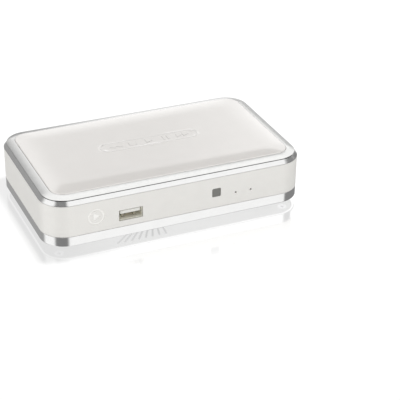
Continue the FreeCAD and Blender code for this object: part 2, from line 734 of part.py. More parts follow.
def shutter_spring():
    """Flat leaf along the socket's ceiling that presses on the knuckle."""
    x = OPTICAL[0]
    ceiling = BOARD_TOP + 1.4 + OPTICAL_CAVITY[1]
    back = CONNECTOR_Y - OPTICAL_CAVITY[2]
    return box(x - 1.2, x + 1.2, back + 0.05, SHUTTER_Y - 0.95, ceiling - 0.17, ceiling - 0.02)


# ---- Buttons -----------------------------------------------------------------------------------

def power_switch_body():
    x, z = POWER_BUTTON[:2]
    block = wall_pad(x, BOARD_TOP + 4.25, 8.4, 8.5, 0.3, 31, 39.6)
    shaft_space = box(x - 1.75, x + 1.75, 33, 41, z - 1.75, z + 1.75)
    return block.cut(shaft_space)


def power_button():
    x, z, width, height = POWER_BUTTON
    cap_back = PLATE_Y[0] + 0.4
    cap = wall_pad(x, z, width, height, 0.9, cap_back, DEPTH / 2 - 0.1)
    front_edges = [edge for edge in cap.Edges if edge.BoundBox.YMin > DEPTH / 2 - 0.15]
    cap = cap.makeFillet(0.35, front_edges)
    shaft = box(x - 1.5, x + 1.5, 33 + POWER_TRAVEL + 0.5, cap_back + 0.2, z - 1.5, z + 1.5)
    return joined([cap, shaft])


def reset_switch_body():
    block = wall_pad(RESET_X, BOARD_TOP + 2.1, 6, 4.2, 0.2, 35.8, 39.8)
    bore = rod(RESET_R + 0.05, Vec(RESET_X, 37, RESET_Z), Vec(RESET_X, 41, RESET_Z))
    return block.cut(bore)


def reset_plunger():
    inner_end = Vec(RESET_X, 37 + RESET_TRAVEL + 0.4, RESET_Z)
    return rod(RESET_R, inner_end, Vec(RESET_X, PLATE_Y[1] - 1.2, RESET_Z))


# ---- Rear plate --------------------------------------------------------------------------------

def plate_cutouts():
    y0 = PLATE_Y[0] - 1
    y1 = PLATE_Y[1] + 1
    gap = 2 * CUTOUT_GAP

    def cutout(x, z, width, height, radius):
        return wall_pad(x, z, width + gap, height + gap, radius, y0, y1)

    cuts = [cutout(place[0], BOARD_TOP + place[2] / 2, place[1], place[2], 0.5)
            for place in (DC_JACK, HDMI, OPTICAL, NETWORK_JACK)]
    cuts.append(cutout(USB_REAR_X, USB_FRONT[1], USB_SIZE[0], USB_SIZE[1], 0.5))
    x, z, width, height = POWER_BUTTON
    cuts.append(cutout(x, z, width, height, 1.0))
    jack_z = BOARD_TOP + AV_JACK[2] / 2
    cuts.append(rod(AV_JACK[2] / 2 + 0.1, Vec(AV_JACK[0], y0, jack_z), Vec(AV_JACK[0], y1, jack_z)))
    cuts.append(rod(RESET_HOLE_R, Vec(RESET_X, y0, RESET_Z), Vec(RESET_X, y1, RESET_Z)))
    return cuts


def rear_io_plate():
    low, high = PLATE_Z
    middle = (low + high) / 2
    face = wall_pad(0, middle, 2 * PLATE_HALF, high - low, 1.5, *PLATE_Y)
    half = PLATE_HALF + PLATE_FLANGE
    flange = box(-half, half, PLATE_Y[0], PLATE_FLANGE_Y, low - 1.3, PLATE_FLANGE_TOP)
    return without(joined([face, flange]), plate_cutouts())


# ---- Board and what is on it -------------------------------------------------------------------

def main_board():
    board = flat_pad(0, 0, *BOARD_SIZE, 1.5, BOARD_TOP - BOARD_THICK, BOARD_TOP)
    hole_r = BOARD_SCREW_R + 0.4
    below = BOARD_TOP - BOARD_THICK - 1
    return without(board, [post(hole_r, *place, below, BOARD_TOP + 1) for place in STANDOFF_PLACES])


def chip(x, y, width, depth, height):
    block = flat_pad(x, y, width, depth, 0.3, BOARD_TOP, BOARD_TOP + height)
    top = BOARD_TOP + height
    return block.cut(post(0.5, x - width / 2 + 1.5, y - depth / 2 + 1.5, top - 0.1, top + 1))


def thermal_pad():
    x, y, _, _, height = CHIPS["main_processor"]
    side, thick = PAD_SIZE
    low = BOARD_TOP + height
    return flat_pad(x, y, side, side, 0.5, low, low + thick)


def heat_sink():
    x, y, _, _, height = CHIPS["main_processor"]
    width, depth, thick = SINK_SIZE
    low = BOARD_TOP + height + PAD_SIZE[1]
    front = y - depth / 2
    rear = y + depth / 2
    pieces = [box(x - width / 2, x + width / 2, front, rear, low, low + thick)]
    pitch = (width - FIN_THICK) / (FIN_COUNT - 1)
    for index in range(FIN_COUNT):
        left = x - width / 2 + index * pitch
        pieces.append(box(left, left + FIN_THICK, front, rear, low + 1, low + thick + FIN_HEIGHT))
    return joined(pieces)


def capacitor(x, y):
    can = post(4, x, y, BOARD_TOP + 1, BOARD_TOP + 9.5)
    foot_block = flat_pad(x, y, 8.3, 8.3, 1, BOARD_TOP, BOARD_TOP + 1.2)
    return joined([can, foot_block])


def inductor(x, y):
    block = flat_pad(x, y, 10, 10, 2, BOARD_TOP, BOARD_TOP + 4)
    return joined([block, post(3.5, x, y, BOARD_TOP + 3, BOARD_TOP + 4.5)])


# ---- All nodes ---------------------------------------------------------------------------------

def all_nodes():
    nodes = {
        "top_panel": top_panel(),
        "top_bezel": top_bezel(),
        "accent_strip": accent_strip(),
        "side_housing": side_housing(),
        "bottom_trim": bottom_trim(),
        "base_pan": base_pan(),
        "rear_io_plate": rear_io_plate(),
        "case_screws": group([case_screw(x, y) for x, y in POST_PLACES]),
        "board_screws": group([board_screw(x, y) for x, y in STANDOFF_PLACES]),
        "bezel_screws": group([bezel_screw(x, y) for x, y in BEZEL_SCREW_PLACES]),
        "ir_window": ir_window(),
        "ir_receiver": ir_receiver(),
        "main_board": main_board(),
        "thermal_pad": thermal_pad(),
        "heat_sink": heat_sink(),
        "bulk_capacitors": group([capacitor(50, y) for y in (-16, -5, 6)]),
        "power_inductors": group([inductor(34, y) for y in (8, 20)]),
        "dc_jack_body": dc_jack_body(),
        "dc_jack_pin": dc_jack_pin(),
        "power_switch_body": power_switch_body(),
        "power_button": power_button(),
        "hdmi_shell": hdmi_shell(),
        "hdmi_tongue": hdmi_tongue(),
        "av_jack": av_jack(),
        "optical_socket_body": optical_socket_body(),
        "optical_emitter": optical_emitter(),
        "optical_shutter": optical_shutter(),
        "shutter_hinge_pin": shutter_hinge_pin(),
        "shutter_spring": shutter_spring(),
        "network_jack_housing": network_jack_housing(),
        "network_jack_contacts": network_jack_contacts(),
        "network_jack_lamps": network_jack_lamps(),
        "reset_switch_body": reset_switch_body(),
        "reset_plunger": reset_plunger(),
    }
    for name, place in FOOT_PLACES.items():
        nodes[name] = foot(*place)
    for name, x in LAMP_X.items():
        nodes[f"{name}_light_pipe"] = light_pipe(x)
        nodes[f"{name}_led"] = light_source(x)
    for name, size in CHIPS.items():
        nodes[name] = chip(*size)
    nodes.update(usb_set("usb_front", *USB_FRONT, -DEPTH / 2 + 0.15, False))
    nodes.update(usb_set("usb_rear", USB_REAR_X, USB_FRONT[1], CONNECTOR_Y, True))
    return nodes


os.makedirs("parts", exist_ok=True)
for node_name, node_shape in all_nodes().items():
    node_shape.exportStep(f"parts/{node_name}.step")
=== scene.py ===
import json
import math

import bmesh
import bpy
from mathutils import Matrix, Vector


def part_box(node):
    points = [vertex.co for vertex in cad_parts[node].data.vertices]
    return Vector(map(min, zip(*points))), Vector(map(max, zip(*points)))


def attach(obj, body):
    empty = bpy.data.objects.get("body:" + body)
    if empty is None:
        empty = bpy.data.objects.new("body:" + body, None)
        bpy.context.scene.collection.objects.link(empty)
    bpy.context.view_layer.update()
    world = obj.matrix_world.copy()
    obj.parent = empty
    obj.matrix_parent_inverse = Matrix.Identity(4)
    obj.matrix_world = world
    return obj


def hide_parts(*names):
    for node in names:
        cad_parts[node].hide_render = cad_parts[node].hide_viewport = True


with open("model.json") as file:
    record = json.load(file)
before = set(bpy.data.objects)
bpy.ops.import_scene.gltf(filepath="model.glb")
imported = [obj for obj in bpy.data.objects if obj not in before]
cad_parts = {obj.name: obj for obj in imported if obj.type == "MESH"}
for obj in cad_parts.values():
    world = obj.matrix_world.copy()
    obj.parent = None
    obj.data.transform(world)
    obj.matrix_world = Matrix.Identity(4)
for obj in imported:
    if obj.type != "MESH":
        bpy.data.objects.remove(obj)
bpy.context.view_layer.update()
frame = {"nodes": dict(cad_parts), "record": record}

# Looks of the streaming media player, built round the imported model.
# Metres. +X runs to the right along the front, the front faces -Y, the floor is at z = 0.

TRIM_LOW, TRIM_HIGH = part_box("bottom_trim")
STRIP_LOW, STRIP_HIGH = (corner.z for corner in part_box("accent_strip"))
BEZEL_FOOT, BEZEL_TOP = (corner.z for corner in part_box("top_bezel"))
PANEL_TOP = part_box("top_panel")[1].z
MM = 0.001

# ---- Driving dimensions ------------------------------------------------------------------------

CORNER_R = 14 * MM              # corner of the casing's outline
CORNER_STEPS = 28
ARC_STEPS = 5
FLAT_END = 0.02 * MM            # beyond this distance from an arc a flat face is shaded flat
SHARP_ANGLE = math.radians(32)  # edges that turn more than this are shaded sharp

TRIM_WALL = 1.6 * MM
TRIM_FOOT_R = 0.5 * MM          # its edges: outer foot, outer head, inner head, inner foot
TRIM_HEAD_R = 0.18 * MM
TRIM_INNER_HEAD_R = 0.1 * MM
TRIM_INNER_FOOT_R = 0.2 * MM

SLOPE_IN = 1.6 * MM             # how far the accent strip leans in
STRIP_FOOT = 0.3 * MM
STRIP_WIDTH = 2.2 * MM
STRIP_BACK_DROP = 0.35 * MM     # its head slopes down towards the back by this
STRIP_FOOT_R = 0.1 * MM
STRIP_BEND_R = 0.2 * MM
STRIP_HEAD_R = 0.06 * MM

CREASE = 0.38 * MM              # open line between the strip and the bezel's lip
LIP_RISE = 0.2 * MM
LIP_FOOT_R = 0.05 * MM
LIP_HEAD_R = 0.1 * MM
BEZEL_OUTER = 1.65 * MM         # insets of the bezel
BEZEL_LEG = 2.35 * MM
BEZEL_INNER = 6.27 * MM
BEZEL_SEAT = 9.0 * MM
BEZEL_RISE = 1.3 * MM           # height of its rim over the foot of its lip
BEZEL_RIM_R = 0.15 * MM
BEZEL_BULGE = 0.1 * MM
BEZEL_ARC_STEPS = 10
SEAT_DROP = 0.4 * MM            # depth of the cover's seat under the foot of the lip
SEAT_THICK = 1.4 * MM

PANEL_INSET = 6.35 * MM
PANEL_DEPTH = 1.65 * MM         # depth of the cover's underside under the bezel's rim
PANEL_CROWN = 0.7 * MM          # rise of the cover from its edge to its middle
PANEL_CROWN_REACH = 13 * MM     # distance from the edge over which it rises
PANEL_EDGE_R = 0.4 * MM
PANEL_RELIEF = 0.15 * MM        # height of the raised line and symbols over that
COVER_SIDE_STEPS = 40
COVER_ROWS = 34
COVER_ROW_POWER = 1.5           # over 1 the rows are closer together near the edge

RELIEF_SLOPE = 0.25 * MM        # width of the slope along their edges
RELIEF_ROOT = 0.6 * MM          # depth inside the cover at which they start
PILL_HALF = (29 * MM, 4.85 * MM)
PILL_Y = 1.4 * MM
PILL_LINE = 0.8 * MM
SYMBOL_SIZE = 4.4 * MM
SYMBOL_PITCH = 10 * MM
PAUSE_BAR = 1.3 * MM
DOUBLE_ARROW_SHARE = 0.8        # size of each arrow in a double one
DOUBLE_ARROW_SHIFT = 1.9 * MM

BADGE_FLOOR = (-48 * MM, -43.7 * MM, 18.65 * MM)     # floor of the mark sunk into the front
BADGE_HALF = (5 * MM, 0.1 * MM, 5 * MM)
# Painted highlight: the sunk mark's floor is lightened towards white, standing in for the light the
# moulded mark catches.
BADGE_HIGHLIGHT = (0.97, 0.96, 0.93)

RELIEF_SHADE = (0, PILL_Y, PANEL_TOP - 0.06 * MM)     # middle of the painted shade along the sloped edges of the relief
# Painted shade: a darker grey laid over the relief's sloped edges, standing in for their shading.
RELIEF_SHADE_HALF = (30 * MM, 6 * MM, 0.04 * MM)
RELIEF_SHADE_COLOR = (0.50, 0.49, 0.47)
ZONE_SOFTNESS = 0.02 * MM

NOISE_RANGE = (0.3, 0.7)        # where nearly all values of a noise lie
CUT_FACE = (0.8, 0.95)          # a face counts as cut across Y as its normal's Y passes these

# The camera, worked out from the straight edges of the box. Angles in degrees, lens in millimetres.
CAMERA_PLACE = (-0.23888, -0.59457, 0.35820)
CAMERA_YAW = 24.427
CAMERA_PITCH = 29.490
CAMERA_ROLL = 1.099
CAMERA_LENS = 115.96
CAMERA_SENSOR = 36.0

FLOOR_HALF = 4.0
FLOOR_LEFT_ZONE = 50 * MM       # length of the box's left end, where the floor's mirror and painted shadow differ
FLOOR_MIRROR = (0.18, 0.5)      # strength of the floor's mirror at the left end and past that zone
FLOOR_SHADOW_GLOW = (0.67, 0.60)       # its own light at the same places, kept low as painted shadow round the box
FLOOR_FAR_GLOW = 1.05           # and away from the box
FLOOR_MIRROR_SHADOW_FULL = 8 * MM      # distance from the casing up to which the floor mirrors fully and its painted shadow is darkest
FLOOR_MIRROR_SHADOW_END = 40 * MM      # and where both stop
FLOOR_LEFT_SHORTER = 4.0        # how much sooner both stop on the left
FLOOR_ROUGHNESS = (0.11, 0.13)
FLOOR_MOTTLE = 60 * MM

FRONT_LIGHT_PLACE = (-0.5, -1.2, 0.6)
FRONT_LIGHT_SIZE = (1.2, 0.8)
FRONT_LIGHT_POWER = 1.5

# Light round the box. Each screen or flag has a heading (0 in front, 90 on the right) and a height in
# degrees, half its width and height, the softness of its edges, and its level. Between them is the tent.
# Later ones lie over earlier ones.
TENT = 1.16
SCREENS = {
    # heading, height, half width, half height, softness, level
    "left flag": (-150, -20, 32, 58, 20, 0.40),
    "corner flag": (-32, -10, 30, 68, 14, 0.26),
    "right flag": (91, -30, 48, 48, 9, 0.28),
    "high flag": (67, 20, 24, 18, 9, 0.28),
    "back wall": (160.5, 28, 6, 5, 8, 0.72),
    "back gap": (154, 38.5, 12, 6, 3, 0.22),
    "low back": (153, -8, 24, 11, 8, 0.78),
    "back screen": (163, 13, 12, 5, 6, 1.4),
    "back corner": (176, -1, 12, 15, 6, 0.40),
    "right back": (144, 9, 10, 7, 6, 0.56),
    "right screen": (146, 20, 4, 3, 5, 1.6),
    "front screen": (147, 52, 20, 4, 6, 1.25),
}


# ---- Mesh helpers ------------------------------------------------------------------------------

def smooth(mesh):
    mesh.shade_smooth()
    mesh.set_sharp_from_angle(angle=SHARP_ANGLE)


def add_piece(name, verts, faces):
    """Object from plain lists, with its faces turned outwards."""
    mesh = bpy.data.meshes.new(name)
    mesh.from_pydata([tuple(vert) for vert in verts], [], faces)
    shell = bmesh.new()
    shell.from_mesh(mesh)
    bmesh.ops.recalc_face_normals(shell, faces=shell.faces)
    shell.to_mesh(mesh)
    shell.free()
    smooth(mesh)
    piece = bpy.data.objects.new(name, mesh)
    bpy.context.scene.collection.objects.link(piece)
    return piece


def outline(half_w, half_d, radius, side_steps=1):
    """Points round a rounded rectangle, anticlockwise from its right side."""
    points = []
    corners = ((1, 1), (-1, 1), (-1, -1), (1, -1))
    for quarter, (side_x, side_y) in enumerate(corners):
        centre = Vector((side_x * (half_w - radius), side_y * (half_d - radius)))
        for step in range(CORNER_STEPS + 1):
            angle = math.pi / 2 * (quarter + step / CORNER_STEPS)
            points.append(centre + radius * Vector((math.cos(angle), math.sin(angle))))
        next_x, next_y = corners[(quarter + 1) % 4]
        turn = math.pi / 2 * (quarter + 1)
        goal = Vector((next_x * (half_w - radius), next_y * (half_d - radius)))
        goal += radius * Vector((math.cos(turn), math.sin(turn)))
        start = points[-1]
        points += [start.lerp(goal, step / side_steps) for step in range(1, side_steps)]
    return points


def casing_outline(inset, side_steps=1):
    return outline(TRIM_HIGH.x - inset, TRIM_HIGH.y - inset, CORNER_R - inset, side_steps)


def rounded_section(corners):
    """Closed section from (inset, height, radius) corners, each turned into an arc."""
    points = []
    for index, (inset, height, radius) in enumerate(corners):
        here = Vector((inset, height))
        if radius == 0:
            points.append(here)
            continue
        back = (Vector(corners[index - 1][:2]) - here).normalized()
        onward = (Vector(corners[(index + 1) % len(corners)][:2]) - here).normalized()
        half = back.angle(onward) / 2
        centre = here + (back + onward).normalized() * radius / math.sin(half)
        arm = here + back * radius / math.tan(half) - centre
        turn = (math.pi - 2 * half) * (1 if back.cross(onward) < 0 else -1)
        turns = [turn * step / ARC_STEPS for step in range(ARC_STEPS + 1)]
        arc = [centre + Matrix.Rotation(part, 2) @ arm for part in turns]
        points += [arc[0] + back * FLAT_END, *arc, arc[-1] + onward * FLAT_END]
    return points


def bands(around, row_pairs):
    """Faces between pairs of closed rows that have the same number of points."""
    faces = []
    for row, next_row in row_pairs:
        for step in range(around):
            next_step = (step + 1) % around
            faces.append((row * around + step, row * around + next_step,
                          next_row * around + next_step, next_row * around + step))
    return faces


def swept_ring(name, section, path):
    """Closed section carried round the path, which gives the points of a loop at an inset."""
    rows = [[(point.x, point.y, height) for point in path(inset)] for inset, height in section]
    verts = [vert for row in rows for vert in row]
    row_pairs = [(row, (row + 1) % len(rows)) for row in range(len(rows))]
    return add_piece(name, verts, bands(len(rows[0]), row_pairs))


# ---- Casing rings ------------------------------------------------------------------------------

def trim_ring():
    corners = [
        (0, TRIM_LOW.z, TRIM_FOOT_R),
        (0, TRIM_HIGH.z, TRIM_HEAD_R),
        (TRIM_WALL, TRIM_HIGH.z, TRIM_INNER_HEAD_R),
        (TRIM_WALL, TRIM_LOW.z, TRIM_INNER_FOOT_R),
    ]
    return swept_ring("lower_trim_ring", rounded_section(corners), casing_outline)


def accent_ring():
    corners = [
        (0, STRIP_LOW, STRIP_FOOT_R),
        (0, STRIP_LOW + STRIP_FOOT, STRIP_BEND_R),
        (SLOPE_IN, STRIP_HIGH, STRIP_HEAD_R),
        (STRIP_WIDTH, STRIP_HIGH - STRIP_BACK_DROP, 0),
        (STRIP_WIDTH, STRIP_LOW, 0),
    ]
    return swept_ring("accent_ring", rounded_section(corners), casing_outline)


def bezel_ring():
    """Silver frame round the cover: a low bulging arc from its lip up to its rim."""
    lip_low = STRIP_HIGH + CREASE
    lip = Vector((BEZEL_OUTER, lip_low + LIP_RISE))
    rim = Vector((BEZEL_INNER, lip_low + BEZEL_RISE))
    across = (rim - lip).normalized()
    bulge = Vector((-across.y, across.x)) * BEZEL_BULGE
    seat = lip_low - SEAT_DROP
    corners = [(BEZEL_OUTER, lip_low, LIP_FOOT_R), (*lip, LIP_HEAD_R)]
    for step in range(1, BEZEL_ARC_STEPS):
        share = step / BEZEL_ARC_STEPS
        height = 4 * share * (1 - share)     # 1 in the middle of the arc, 0 at its ends
        corners.append((*(lip.lerp(rim, share) + bulge * height), 0))
    corners += [
        (*rim, BEZEL_RIM_R),
        (BEZEL_INNER, seat, 0),
        (BEZEL_SEAT, seat, 0),
        (BEZEL_SEAT, seat - SEAT_THICK, 0),
        (BEZEL_INNER, seat - SEAT_THICK, 0),
        (BEZEL_INNER, BEZEL_FOOT, 0),
        (BEZEL_LEG, BEZEL_FOOT, 0),
        (BEZEL_LEG, lip_low, 0),
    ]
    return swept_ring("silver_bezel", rounded_section(corners), casing_outline)


# ---- Cover -------------------------------------------------------------------------------------

def crown_height(x, y):
    """Height of the cover's face."""
    rise = PANEL_CROWN
    for place, half in ((x, TRIM_HIGH.x), (y, TRIM_HIGH.y)):
        from_edge = half - PANEL_INSET - abs(place)
        rise *= 1 - max(0, 1 - from_edge / PANEL_CROWN_REACH) ** 2
    return PANEL_TOP - PANEL_RELIEF - PANEL_CROWN + rise


def pill_path(inset):
    half_w, half_d = (half - inset for half in PILL_HALF)
    return [point + Vector((0, PILL_Y)) for point in outline(half_w, half_d, half_d)]


def relief_pieces():
    """Raised outline and generic transport symbols, as prisms that start inside the cover."""
    foot = PANEL_TOP - PANEL_RELIEF
    low = PANEL_TOP - RELIEF_ROOT
    line = [
        (0, low),
        (0, foot),
        (RELIEF_SLOPE, PANEL_TOP),
        (PILL_LINE - RELIEF_SLOPE, PANEL_TOP),
        (PILL_LINE, foot),
        (PILL_LINE, low),
    ]
    pieces = [swept_ring("relief_line", line, pill_path)]

    half = SYMBOL_SIZE / 2
    shapes = [play_arrow(0, half), bar(-SYMBOL_PITCH, half, half)]
    shapes += [bar(SYMBOL_PITCH + side * PAUSE_BAR, PAUSE_BAR / 2, half) for side in (-1, 1)]
    for side in (-1, 1):
        for shift in (-DOUBLE_ARROW_SHIFT, DOUBLE_ARROW_SHIFT):
            shapes.append(play_arrow(side * 2 * SYMBOL_PITCH + shift, side * half * DOUBLE_ARROW_SHARE))
    for index, shape in enumerate(shapes):
        corners = [(x, y + PILL_Y) for x, y in shape]
        pieces.append(sloped_prism(f"relief_symbol_{index}", corners, low, foot))
    return pieces


def play_arrow(x, reach):
    """Triangle round x that points to the right, or to the left if reach is negative."""
    return [(x - reach, -reach), (x + reach, 0), (x - reach, reach)]


def bar(x, half_w, half_h):
    return [(x - half_w, -half_h), (x + half_w, -half_h), (x + half_w, half_h), (x - half_w, half_h)]


def sloped_prism(name, corners, low, foot):
    """Upright prism that slopes in all round above its foot height."""
    count = len(corners)
    verts = [(x, y, z) for z in (low, foot) for x, y in corners]
    ends = [tuple(range(count)), tuple(range(count, 2 * count))]
    piece = add_piece(name, verts, ends + bands(count, [(0, 1)]))
    shell = bmesh.new()
    shell.from_mesh(piece.data)
    head = max(shell.faces, key=lambda face: face.calc_center_median().z)
    bmesh.ops.inset_individual(shell, faces=[head], thickness=RELIEF_SLOPE, depth=PANEL_RELIEF)
    shell.to_mesh(piece.data)
    shell.free()
    return piece


def join(piece, tools):
    """Melt the tools into the piece and delete them."""
    for tool in tools:
        union = piece.modifiers.new(tool.name, "BOOLEAN")
        union.operation = "UNION"
        union.solver = "MANIFOLD"
        union.object = tool
    evaluated = piece.evaluated_get(bpy.context.evaluated_depsgraph_get())
    joined = bpy.data.meshes.new_from_object(evaluated)
    piece.modifiers.clear()
    piece.data = joined
    for tool in tools:
        bpy.data.objects.remove(tool)
    smooth(joined)


def cover():
    """Pillow-shaped gloss cover, with the relief joined to it."""
    low = BEZEL_TOP - PANEL_DEPTH
    rows = [[(p.x, p.y, low) for p in casing_outline(PANEL_INSET, COVER_SIDE_STEPS)]]
    for step in range(ARC_STEPS + 1):
        angle = math.pi / 2 * step / ARC_STEPS
        inset = PANEL_INSET + PANEL_EDGE_R * (1 - math.cos(angle))
        drop = PANEL_EDGE_R * (1 - math.sin(angle))
        edge = casing_outline(inset, COVER_SIDE_STEPS)
        rows.append([(p.x, p.y, crown_height(p.x, p.y) - drop) for p in edge])
    rim = casing_outline(PANEL_INSET + PANEL_EDGE_R, COVER_SIDE_STEPS)
    for step in range(1, COVER_ROWS):
        scale = 1 - (step / COVER_ROWS) ** COVER_ROW_POWER
        rows.append([(p.x * scale, p.y * scale, crown_height(p.x * scale, p.y * scale)) for p in rim])

    around = len(rim)
    verts = [vert for row in rows for vert in row]
    verts.append((0, 0, crown_height(0, 0)))
    faces = bands(around, [(row, row + 1) for row in range(len(rows) - 1)])
    faces.append(tuple(range(around)))
    last = (len(rows) - 1) * around
    faces += [(last + step, last + (step + 1) % around, len(verts) - 1) for step in range(around)]
    piece = add_piece("gloss_cover", verts, faces)
    join(piece, relief_pieces())
    return piece


# ---- Shader helpers ----------------------------------------------------------------------------

def feed(tree, socket, value):
    """Set a number or colour on a socket, or link another node's output to it."""
    if isinstance(value, (int, float, tuple)):
        socket.default_value = value
    else:
        tree.links.new(value, socket)


def feed_all(tree, node, values):
    for socket, value in zip(node.inputs, values):
        feed(tree, socket, value)


def math_node(tree, operation, *values):
    node = tree.nodes.new("ShaderNodeMath")
    node.operation = operation
    feed_all(tree, node, values)
    return node.outputs["Value"]


def vector_node(tree, operation, *values):
    node = tree.nodes.new("ShaderNodeVectorMath")
    node.operation = operation
    feed_all(tree, node, values)
    return node.outputs["Value" if operation == "LENGTH" else "Vector"]


def split_axes(tree, vector):
    node = tree.nodes.new("ShaderNodeSeparateXYZ")
    tree.links.new(vector, node.inputs["Vector"])
    return [node.outputs[axis] for axis in "XYZ"]


def object_place(tree):
    return tree.nodes.new("ShaderNodeTexCoord").outputs["Object"]


def remap(tree, value, start, end, from_value, to_value):
    """Smooth step of a value from one level to another."""
    node = tree.nodes.new("ShaderNodeMapRange")
    node.interpolation_type = "SMOOTHSTEP"
    feed_all(tree, node, (value, start, end, from_value, to_value))
    return node.outputs["Result"]


def spread(tree, value, low, high):
    """The noise's usual range carried over to low..high."""
    node = tree.nodes.new("ShaderNodeMapRange")
    feed_all(tree, node, (value, *NOISE_RANGE, low, high))
    return node.outputs["Result"]


def noise(tree, size, stretch=(1, 1, 1)):
    """Noise with features of about the given size."""
    mapping = tree.nodes.new("ShaderNodeMapping")
    mapping.inputs["Scale"].default_value = [1 / (size * part) for part in stretch]
    texture = tree.nodes.new("ShaderNodeTexNoise")
    texture.inputs["Scale"].default_value = 1.0
    texture.inputs["Detail"].default_value = 3.0
    tree.links.new(object_place(tree), mapping.inputs["Vector"])
    tree.links.new(mapping.outputs["Vector"], texture.inputs["Vector"])
    return texture.outputs["Fac"]


def mix_color(tree, share, first, second):
    node = tree.nodes.new("ShaderNodeMix")
    node.data_type = "RGBA"
    for name, value in (("Factor", share), ("A", first), ("B", second)):
        feed(tree, node.inputs[name], value)
    return node.outputs["Result"]


def recolor(material, share, color):
    """Lay a colour over the material's own by a share."""
    tree = material.node_tree
    socket = tree.nodes["Principled BSDF"].inputs["Base Color"]
    own = socket.links[0].from_socket
    tree.links.new(mix_color(tree, share, own, (*color, 1)), socket)


# ---- Materials ---------------------------------------------------------------------------------

def surface(name, color, roughness, variation=0.03, mottle=6 * MM, grain=0.25 * MM, height=0.004 * MM,
            stretch=(1, 1, 1), rough_spread=0.15, **sockets):
    """Material with mottled colour, uneven gloss and a fine relief. Other values go to the shader."""
    material = bpy.data.materials.new(name)
    material.use_nodes = True
    tree = material.node_tree
    shader = tree.nodes["Principled BSDF"]
    for socket, value in sockets.items():
        shader.inputs[socket.replace("_", " ")].default_value = value

    darker = (*(channel * (1 - variation) for channel in color), 1)
    lighter = (*(min(1, channel * (1 + variation)) for channel in color), 1)
    tint = mix_color(tree, spread(tree, noise(tree, mottle), 0, 1), darker, lighter)
    tree.links.new(tint, shader.inputs["Base Color"])

    smoothest = roughness * (1 - rough_spread)
    roughest = min(1, roughness * (1 + rough_spread))
    gloss = spread(tree, noise(tree, mottle / 3, stretch), smoothest, roughest)
    tree.links.new(gloss, shader.inputs["Roughness"])

    bump = tree.nodes.new("ShaderNodeBump")
    bump.inputs["Strength"].default_value = 1.0
    bump.inputs["Distance"].default_value = height
    tree.links.new(noise(tree, grain, stretch), bump.inputs["Height"])
    tree.links.new(bump.outputs["Normal"], shader.inputs["Normal"])
    return material


def sheet_metal(name, color, roughness, cut_edge_shade_color):
    """Plated sheet with darker cut edges, which are its faces across the Y axis: bare steel, darkened
    further into painted shade.
    """
    material = surface(name, color, roughness, stretch=(1, 10, 1), Metallic=0.35)
    tree = material.node_tree
    normal = tree.nodes.new("ShaderNodeNewGeometry").outputs["Normal"]
    across = math_node(tree, "ABSOLUTE", split_axes(tree, normal)[1])
    recolor(material, remap(tree, across, *CUT_FACE, 0.0, 1.0), cut_edge_shade_color)
    return material


def painted_zone(material, centre, half, color):
    """Other colour within a box round the centre."""
    tree = material.node_tree
    from_centre = vector_node(tree, "ABSOLUTE", vector_node(tree, "SUBTRACT", object_place(tree), centre))
    outside = vector_node(tree, "MAXIMUM", vector_node(tree, "SUBTRACT", from_centre, half), (0, 0, 0))
    distance = vector_node(tree, "LENGTH", outside)
    recolor(material, remap(tree, distance, 0.0, ZONE_SOFTNESS, 1.0, 0.0), color)


